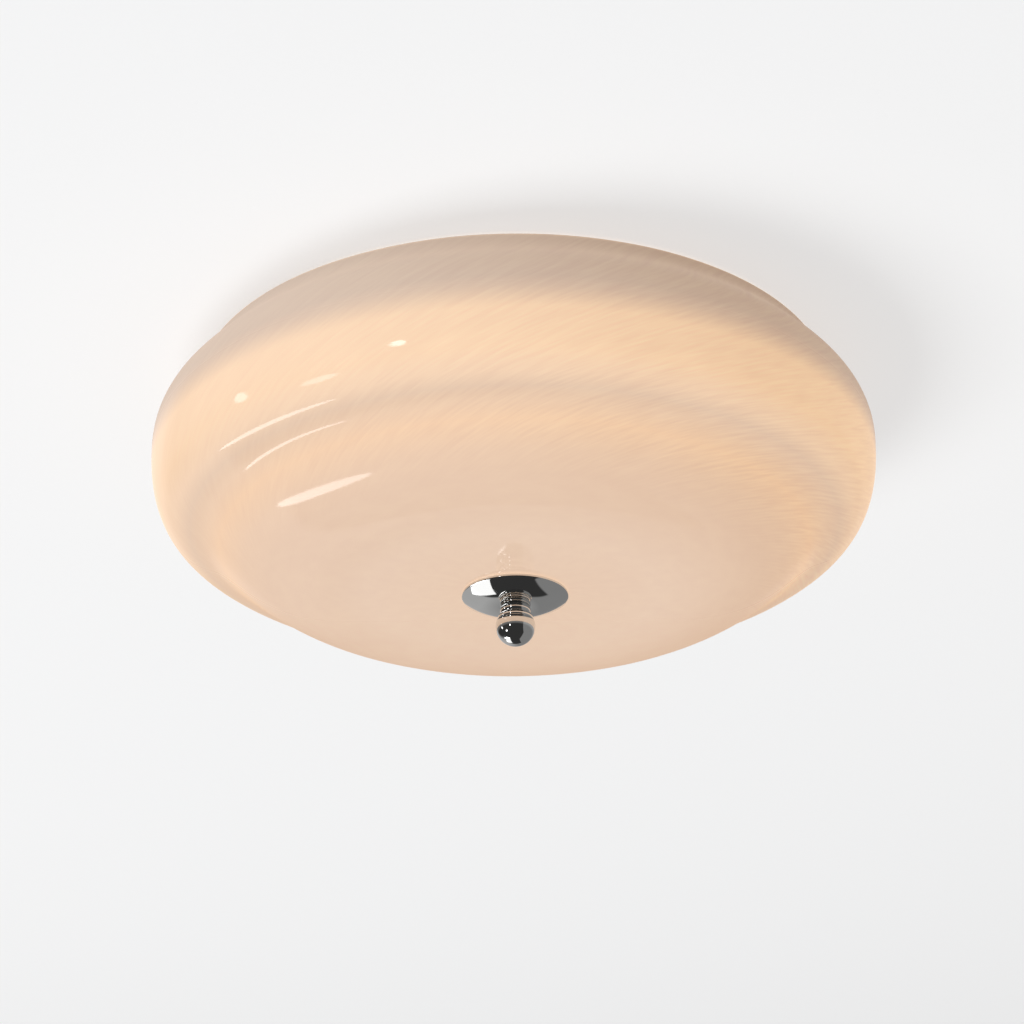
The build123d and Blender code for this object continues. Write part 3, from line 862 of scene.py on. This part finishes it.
class CEILINGLIGHT_OT_finial(bpy.types.Operator):
    """Turn the chromed cap and the knob of two beads and a ball"""

    bl_idname = "ceilinglight.finial"
    bl_label = "Finial cap and knob"

    def execute(self, context):
        finial = context.scene.light_finial
        bore = context.scene.light_fittings.rod_radius + ROD_CLEARANCE
        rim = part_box("finial_cap")[1].z
        under = rim - finial.cap_height
        cap = turn("turned_cap", self.cap_outline(finial, bore, rim, under), FINE_STEPS)
        fit(soften(cap, finial.edge_softness), "finial_cap", polished_chrome())
        knob = turn("turned_knob", self.knob_outline(finial, under), FINE_STEPS)
        fit(soften(knob, 0.5 * finial.edge_softness), "finial_knob", polished_chrome())
        return {"FINISHED"}

    @staticmethod
    def cap_outline(finial, bore, rim, under):
        """Outline of the cap from its rim down its dome, in to the rod and back up to the gasket's seat."""
        seat_outer = finial.cap_radius - finial.cap_lip
        seat_inner = seat_outer - finial.cap_seat
        seat = rim - finial.cap_seat_depth
        inside = under + finial.cap_wall
        edge_foot = (finial.cap_radius, rim - finial.cap_edge)
        return [
            (finial.cap_radius, rim),
            *bowed(edge_foot, (finial.cap_land_radius, under), finial.cap_crown, count=24),
            (bore, under),
            (bore, inside),
            (finial.cap_land_radius, inside),
            (seat_inner, seat),
            (seat_outer, seat),
            (seat_outer, rim),
            (finial.cap_radius, rim),
        ]

    @staticmethod
    def knob_outline(finial, top):
        """Outline of the knob from its bored top down to the foot of its ball and back up the bore."""
        groove = finial.upper_bead_radius - finial.bead_groove
        lower_groove = finial.lower_bead_radius - finial.bead_groove
        lower_bulge = finial.lower_bead_radius - (groove + lower_groove) / 2
        first_foot = top - finial.bead_height
        second_foot = first_foot - finial.bead_height
        middle = top - finial.ball_drop
        bore_end = top - finial.bore_depth
        ball_start = asin((second_foot - middle) / finial.ball_radius)
        return [
            (finial.knob_bore, top),
            *bowed((groove, top), (groove, first_foot), finial.bead_groove, count=16),
            *bowed((groove, first_foot), (lower_groove, second_foot), lower_bulge, count=16)[1:],
            *ball_side(middle, finial.ball_radius, ball_start, count=40),
            (0, middle - finial.ball_radius),
            (0, bore_end),
            (finial.knob_bore, bore_end),
            (finial.knob_bore, top),
        ]


class CEILINGLIGHT_OT_threads(bpy.types.Operator):
    """Roll the threads of the hollow centre rod and of the two studs"""

    bl_idname = "ceilinglight.threads"
    bl_label = "Threaded rod and studs"

    def execute(self, context):
        fittings = context.scene.light_fittings
        pitch = fittings.rod_pitch
        low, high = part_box("center_rod")
        lead_in = 0.6 * pitch
        core_radius = fittings.rod_radius - 0.45 * pitch
        skin = thread_skin("threaded_rod", fittings.rod_radius, pitch, low.z + lead_in, high.z - lead_in)
        self.open_ends(skin, core_radius - fittings.rod_bore)
        core = turn("rod_core", ring_outline(fittings.rod_bore, core_radius, low.z, high.z), SMALL_STEPS)
        fit(soften(join_pieces("threaded_rod", [skin, core])), "center_rod", plated_zinc())

        low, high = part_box("bracket_studs")
        stud = thread_skin("threaded_studs", fittings.stud_radius, fittings.stud_pitch, low.z, high.z)
        fit(soften(copies_at(stud, stud_places())), "bracket_studs", plated_zinc())
        return {"FINISHED"}

    @staticmethod
    def open_ends(skin, width):
        """Open the middle of the thread's two end faces, so that the bore stays clear."""
        pick(skin, "FACE", lambda face: len(face.verts) > 8)
        bpy.ops.mesh.inset(thickness=width, use_individual=True)
        bpy.ops.mesh.delete(type="FACE")
        bpy.ops.object.mode_set(mode="OBJECT")


class CEILINGLIGHT_OT_nuts(bpy.types.Operator):
    """Cut the hexagon nuts and the domed cap nuts"""

    bl_idname = "ceilinglight.nuts"
    bl_label = "Nuts"

    def execute(self, context):
        fittings = context.scene.light_fittings
        rod = (fittings.rod_nut_flats, fittings.rod_radius)
        stud = (fittings.stud_nut_flats, fittings.stud_radius)
        screw = (fittings.holder_nut_flats, fittings.holder_screw_radius)

        low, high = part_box("shade_stop_nut")
        height = high.z - low.z
        fit(hexagon_nut("stop_nut", *rod, low.z, high.z), "shade_stop_nut", plated_zinc())

        low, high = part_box("rod_nuts")
        lower = hexagon_nut("rod_nut_pair", *rod, low.z, low.z + height)
        upper = hexagon_nut("rod_nut_upper", *rod, high.z - height, high.z)
        fit(join_pieces("rod_nut_pair", [lower, upper]), "rod_nuts", plated_zinc())

        low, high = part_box("terminal_fixing_nut")
        block = [Matrix.Translation((0, (low.y + high.y) / 2, 0))]
        for name, node, kind, places in (
            ("stud_nut_pair", "stud_lock_nuts", stud, stud_places()),
            ("holder_nut_set", "holder_nuts", screw, holder_screw_places()),
            ("block_nut", "terminal_fixing_nut", screw, block),
        ):
            low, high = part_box(node)
            fit(copies_at(hexagon_nut(name, *kind, low.z, high.z), places), node, plated_zinc())

        fit(copies_at(self.cap_nut(fittings, *stud), stud_places()), "cap_nuts", plated_zinc())
        return {"FINISHED"}

    @staticmethod
    def cap_nut(fittings, flats, bore):
        """A hexagon with a dome below it, which reaches up into the hexagon."""
        low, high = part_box("cap_nuts")
        hexagon_foot = high.z - fittings.cap_nut_hex
        hexagon = hexagon_nut("cap_nut_pair", flats, bore, hexagon_foot, high.z)
        dome_radius = 0.94 * flats / 2
        dome_top = hexagon_foot + 1.0 * MM
        crown = ball_side(low.z + dome_radius, dome_radius, 0, count=12)
        outline = [(0, dome_top), (dome_radius, dome_top), *crown, (0, low.z)]
        dome = soften(turn("cap_nut_dome", outline, SMALL_STEPS))
        return join_pieces("cap_nut_pair", [hexagon, dome])


class CEILINGLIGHT_OT_rings(bpy.types.Operator):
    """Make the washers, gaskets and grommets"""

    bl_idname = "ceilinglight.rings"
    bl_label = "Washers and seals"

    def execute(self, context):
        fittings = context.scene.light_fittings
        soft = fittings.edge_softness
        rod_hole = fittings.rod_radius + ROD_CLEARANCE
        stud_hole = fittings.stud_radius + STUD_CLEARANCE
        self.on_axis("stop_washer", "inner_washer", rod_hole, soft, plated_zinc())

        low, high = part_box("rod_washers")
        sheet = 1.5 * MM
        lower = flat_ring("rod_washer_pair", rod_hole, high.x, low.z, low.z + sheet, soft)
        upper = flat_ring("rod_washer_upper", rod_hole, high.x, high.z - sheet, high.z, soft)
        fit(join_pieces("rod_washer_pair", [lower, upper]), "rod_washers", plated_zinc())

        low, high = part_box("earth_washer")
        earth = [Matrix.Translation(((low.x + high.x) / 2, 0, 0))]
        for name, node, places, finish in (
            ("stud_washer_pair", "stud_washers", stud_places(), plated_zinc()),
            ("earth_ring", "earth_washer", earth, turned_brass()),
        ):
            low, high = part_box(node)
            washer = flat_ring(name, stud_hole, (high.y - low.y) / 2, low.z, high.z, soft)
            fit(copies_at(washer, places), node, finish)

        seal_width = 2.8 * MM
        seal_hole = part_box("cap_gasket")[1].x - seal_width
        self.on_axis("inner_seal", "inner_gasket", rod_hole, 3 * soft, clear_silicone())
        self.on_axis("cap_seal", "cap_gasket", seal_hole, 2 * soft, clear_silicone())
        self.grommets(context.scene.light_lamps)
        return {"FINISHED"}

    @staticmethod
    def on_axis(name, node, hole, softness, finish):
        """One ring on the light's axis."""
        low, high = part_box(node)
        fit(flat_ring(name, hole, high.x, low.z, high.z, softness), node, finish)

    @staticmethod
    def grommets(lamps):
        """Rubber grommets in the pan, over the holders."""
        low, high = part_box("lead_grommets")
        pan_sheet = 1.0 * MM
        pan_over = low.z + pan_sheet
        rounding = 0.3 * MM
        flange = high.x - max(station.translation.x for station in stations())
        outline = [
            (lamps.grommet_bore, low.z),
            (lamps.grommet_neck, low.z),
            (lamps.grommet_neck, pan_over),
            (flange, pan_over),
            (flange, high.z),
            (lamps.grommet_bore, high.z),
            (lamps.grommet_bore, low.z),
        ]
        grommet = soften(turn("grommet_set", outline, SMALL_STEPS), rounding, segments=3)
        fit(copies_at(grommet, stations()), "lead_grommets", black_rubber())


class CEILINGLIGHT_OT_capsules(bpy.types.Operator):
    """Blow the frosted capsules of the bulbs"""

    bl_idname = "ceilinglight.capsules"
    bl_label = "Bulb capsules"

    def execute(self, context):
        low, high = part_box("bulb_1_capsule")
        radius = context.scene.light_lamps.capsule_radius
        neck_top = (0.8 * radius, high.z)
        neck_foot = (0.86 * radius, high.z - 2 * MM)
        shoulder = (radius, high.z - 5 * MM)
        dome = ball_side(low.z + radius, radius, 0, count=20)
        outline = [(0, high.z), neck_top, neck_foot, shoulder, *dome, (0, low.z)]
        for number, station in enumerate(stations(), 1):
            capsule = soften(turn(f"frosted_bulb_{number}", outline, SMALL_STEPS))
            fit(copies_at(capsule, [station]), f"bulb_{number}_capsule", frosted_capsule())
        return {"FINISHED"}


class CEILINGLIGHT_OT_leads(bpy.types.Operator):
    """Lay the sleeved leads from the holders to the terminal block"""

    bl_idname = "ceilinglight.leads"
    bl_label = "Leads"

    def execute(self, context):
        lamps = context.scene.light_lamps
        for number, station in enumerate(stations(), 1):
            node = f"holder_lead_{number}"
            route = self.route(lamps, station.translation, *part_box(node))
            fit(self.lay(f"sleeved_lead_{number}", route, lamps.lead_radius), node, woven_sleeve())
        return {"FINISHED"}

    @staticmethod
    def route(lamps, start, low, high):
        """Control points of a lead: straight up out of its grommet, across, and straight into the block."""
        level = high.z - lamps.lead_radius
        right = start.x > 0
        block_end = low.x if right else high.x
        turn_x = lamps.lead_turn if right else -lamps.lead_turn
        row = low.y + lamps.lead_radius if start.y > 0 else high.y - lamps.lead_radius
        return [
            (start.x, start.y, low.z),
            (start.x, start.y, low.z + lamps.lead_straight),
            (start.x, start.y, level),
            (0.5 * (start.x + turn_x), 0.5 * (start.y + row), level),
            (turn_x, row, level),
            (0.5 * (turn_x + block_end), row, level),
            (block_end, row, level),
        ]

    @staticmethod
    def lay(name, route, radius):
        """A round lead along a smooth curve."""
        curve = bpy.data.curves.new(name, "CURVE")
        curve.dimensions = "3D"
        curve.bevel_depth = radius
        curve.bevel_resolution = 5
        curve.use_fill_caps = True
        spline = curve.splines.new("NURBS")
        spline.points.add(len(route) - 1)
        for point, place in zip(spline.points, route):
            point.co = (*place, 1.0)
        spline.order_u = 3
        spline.use_endpoint_u = True
        spline.resolution_u = 14
        lead = bpy.data.objects.new(name, curve)
        bpy.context.collection.objects.link(lead)
        select_only(lead)
        bpy.ops.object.convert(target="MESH")
        return soften(bpy.context.object)


class CEILINGLIGHT_OT_finish_nodes(bpy.types.Operator):
    """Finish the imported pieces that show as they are"""

    bl_idname = "ceilinglight.finish_nodes"
    bl_label = "Finish packed pieces"

    def execute(self, context):
        by_slot = {
            "white_paint": white_enamel(),
            "zinc_steel": plated_zinc(),
            "brass": turned_brass(),
            "white_plastic": moulded_plastic(),
            "holder_ceramic": fired_ceramic(),
        }
        for node, piece in frame["nodes"].items():
            if not piece.hide_render:
                for slot in piece.material_slots:
                    slot.material = by_slot[SLOT_OF[node]]
        return {"FINISHED"}


class CEILINGLIGHT_OT_stage(bpy.types.Operator):
    """Set the ceiling, the floor, the lights and the camera"""

    bl_idname = "ceilinglight.stage"
    bl_label = "Stage"

    def execute(self, context):
        stage = context.scene.light_stage
        context.scene.view_settings.view_transform = "Standard"
        self.ceiling(stage)
        self.floor(stage)
        self.surroundings(context.scene, stage)
        self.lights()
        self.camera(context.scene, stage)
        return {"FINISHED"}

    @staticmethod
    def sheet(name, size, material, **placing):
        """A wide flat sheet that the camera sees, and that no piece is lit by, shaded by or mirrors."""
        clear_selection()
        bpy.ops.mesh.primitive_plane_add(size=size, **placing)
        plane = bpy.context.object
        plane.name = name
        dress(plane, material)
        plane.visible_shadow = False
        plane.visible_diffuse = False
        plane.visible_glossy = False

    def ceiling(self, stage):
        """A painted ceiling that shows only from below and lets outside light through from above."""
        tree = new_tree("ceiling_paint")
        paint = tree.principled(
            Base_Color=tree.dulled(tree.noise(350.0), stage.ceiling_paint, 0.98),
            Roughness=1.0,
            Specular_IOR_Level=0.0,
            Emission_Color=(1.0, 1.0, 1.0),
            Emission_Strength=stage.ceiling_light,
        )
        behind = tree.node("ShaderNodeNewGeometry", output="Backfacing")
        clear = tree.node("ShaderNodeBsdfTransparent")
        one_sided = tree.node("ShaderNodeMixShader", {}, {0: behind, 1: paint, 2: clear})
        tree.node("ShaderNodeOutputMaterial", {}, {"Surface": one_sided})
        above_strap = (0, 0, 0.5 * MM)
        self.sheet("ceiling", stage.ceiling_size, tree.owner, location=above_strap, rotation=(pi, 0, 0))
        bpy.ops.object.transform_apply()

    def floor(self, stage):
        """A plain pale floor, a room's height below."""
        tree = new_tree("floor_paint")
        shade = tree.dulled(tree.noise(3.0, detail=3.0), stage.floor_paint, 0.95)
        paint = tree.surface(Base_Color=shade, Roughness=0.7)
        self.sheet("floor", stage.ceiling_size, paint, location=(0, 0, -stage.floor_drop))

    @staticmethod
    def surroundings(scene, stage):
        """A pale room to look at, an even light, and a darker room for polished faces to mirror."""
        world = bpy.data.worlds.new("room")
        scene.world = world
        tree = Tree(world)
        x, y, z = tree.split(tree.node("ShaderNodeTexCoord", output="Generated"))
        height = tree.maths("ARCSINE", z)
        far = height.between(radians(-40), radians(-37)) * y.between(-0.1, 0.3) * x.between(-0.8, -0.6)
        far_light = x.between(0.1, -0.2) * 0.2 + 0.2
        wall_edge = 0.31 + y.between(0.2, -0.3) * 0.4
        wall = (x - wall_edge).between(-0.015, 0.015) * (1.0 - far)
        overhead = z.between(-0.05, 0.1)
        mirrored = far * far_light + wall * 0.2 + overhead * 0.14 + 0.036
        seen = tree.node("ShaderNodeLightPath", output="Is Camera Ray")
        glossy = tree.node("ShaderNodeLightPath", output="Is Glossy Ray")
        plain = seen * stage.room_seen + (1.0 - seen) * stage.room_light
        strength = glossy * mirrored + (1.0 - glossy) * plain
        light = tree.node("ShaderNodeBackground", {}, {"Color": (1.0, 1.0, 1.0, 1.0), "Strength": strength})
        tree.node("ShaderNodeOutputWorld", {}, {"Surface": light})

    def lights(self):
        """Soft light from below and from the left, and the small lights that polished faces mirror."""
        aim = Vector((0, 0, -0.07))
        key = self.area("key", (-3.7, -3.1, -0.9), aim, (2.6, 2.0), 177.0, glossy=False)
        key.data.color = (0.88, 0.935, 1.0)
        right = self.area("right", (2.4, -0.65, -3.05), aim, (2.0, 2.0), 52.0, glossy=False)
        fill = self.area("fill", (0.3, 1.2, -2.6), Vector((0.3, 1.2, 0)), (4.0, 4.0), 13.0, glossy=False)
        for lamp in (key, right, fill):
            lamp.data.use_shadow = False
        side = self.area("side", (-2.1, 0.55, -3.0), aim, (2.2, 2.2), 80.0, glossy=False)
        side.light_linking.receiver_collection = self.alone("ceiling")
        panel = self.area("panel", (-0.85, 0.80, -1.51), aim, (1.30, 0.66), 3.3, diffuse=False)
        panel.data.shape = "RECTANGLE"
        panel.rotation_euler.rotate_axis("Z", radians(-24))
        panel.light_linking.receiver_collection = self.alone("turned_cap", "turned_knob")
        left_front = Vector((-0.12, -0.13, -0.09))
        strip = self.area("strip", (-1.22, 0.63, -1.60), left_front, (0.17, 1.05), 1.9, diffuse=False)
        strip.rotation_euler.rotate_axis("Z", radians(17))
        self.area("window", (-2.12, -0.16, -0.35), aim, (0.17, 0.42), 0.7, diffuse=False)
        self.area("doorway", (-1.62, -0.81, -1.22), aim, (0.42, 0.32), 1.0, diffuse=False)
        self.area("near_spot", (-0.88, -1.43, -0.38), aim, (0.14, 0.20), 0.6, diffuse=False)

    @staticmethod
    def alone(*names):
        """A collection of the named pieces, for a light that falls on nothing else."""
        collection = bpy.data.collections.new(f"{names[0]}_only")
        for name in names:
            collection.objects.link(bpy.data.objects[name])
        return collection

    @staticmethod
    def area(name, place, aim, size, power, glossy=True, diffuse=True):
        """A light at a place, turned towards a point: square-cornered, or oval where it is only mirrored."""
        light = bpy.data.lights.new(name, "AREA")
        light.shape = "RECTANGLE" if diffuse else "ELLIPSE"
        light.size, light.size_y = size
        light.energy = power
        lamp = bpy.data.objects.new(name, light)
        lamp.location = place
        lamp.rotation_euler = (aim - Vector(place)).to_track_quat("-Z", "Y").to_euler()
        lamp.visible_camera = False
        lamp.visible_glossy = glossy
        lamp.visible_diffuse = diffuse
        bpy.context.collection.objects.link(lamp)
        return lamp

    @staticmethod
    def camera(scene, stage):
        """A camera below the light, looking up at it."""
        view = bpy.data.cameras.new("camera")
        view.sensor_width = 36.0
        view.lens = view.sensor_width * stage.focal_pixels / stage.picture_pixels
        view.shift_x = (stage.picture_pixels / 2 - stage.centre_x) / stage.picture_pixels
        view.shift_y = (stage.centre_y - stage.picture_pixels / 2) / stage.picture_pixels
        view.clip_end = 50.0
        camera = bpy.data.objects.new("camera", view)
        ahead = Vector((0, cos(stage.view_elevation), sin(stage.view_elevation)))
        camera.location = Vector((0, 0, -stage.view_depth)) - ahead * stage.view_distance
        facing = ahead.to_track_quat("-Z", "Y").to_matrix().to_4x4()
        camera.rotation_euler = (facing @ Matrix.Rotation(stage.view_roll, 4, "Z")).to_euler()
        bpy.context.collection.objects.link(camera)
        scene.camera = camera


OPERATORS = (
    CEILINGLIGHT_OT_shade,
    CEILINGLIGHT_OT_finial,
    CEILINGLIGHT_OT_threads,
    CEILINGLIGHT_OT_nuts,
    CEILINGLIGHT_OT_rings,
    CEILINGLIGHT_OT_capsules,
    CEILINGLIGHT_OT_leads,
    CEILINGLIGHT_OT_finish_nodes,
    CEILINGLIGHT_OT_stage,
)
SETTINGS = {
    "light_glass": GlassSettings,
    "light_finial": FinialSettings,
    "light_fittings": FittingSettings,
    "light_lamps": LampSettings,
    "light_finish": FinishSettings,
    "light_stage": StageSettings,
}


class CEILINGLIGHT_PT_panel(bpy.types.Panel):
    """Lists the pieces of the ceiling light"""

    bl_idname = "CEILINGLIGHT_PT_panel"
    bl_label = "Ceiling light"
    bl_space_type = "VIEW_3D"
    bl_region_type = "UI"
    bl_category = "Ceiling light"

    def draw(self, context):
        for operator in OPERATORS:
            self.layout.operator(operator.bl_idname)


CLASSES = (*SETTINGS.values(), *OPERATORS, CEILINGLIGHT_PT_panel)


def register():
    """Register the settings, the operators and the panel."""
    for entry in CLASSES:
        bpy.utils.register_class(entry)
    for name, group in SETTINGS.items():
        setattr(bpy.types.Scene, name, bpy.props.PointerProperty(type=group))


def unregister():
    """Take everything out again."""
    for name in SETTINGS:
        delattr(bpy.types.Scene, name)
    for entry in reversed(CLASSES):
        bpy.utils.unregister_class(entry)


def main():
    """Build every piece and the stage."""
    register()
    bpy.ops.ceilinglight.shade()
    bpy.ops.ceilinglight.finial()
    bpy.ops.ceilinglight.threads()
    bpy.ops.ceilinglight.nuts()
    bpy.ops.ceilinglight.rings()
    bpy.ops.ceilinglight.capsules()
    bpy.ops.ceilinglight.leads()
    bpy.ops.ceilinglight.finish_nodes()
    bpy.ops.ceilinglight.stage()


if __name__ == "__main__":
    main()
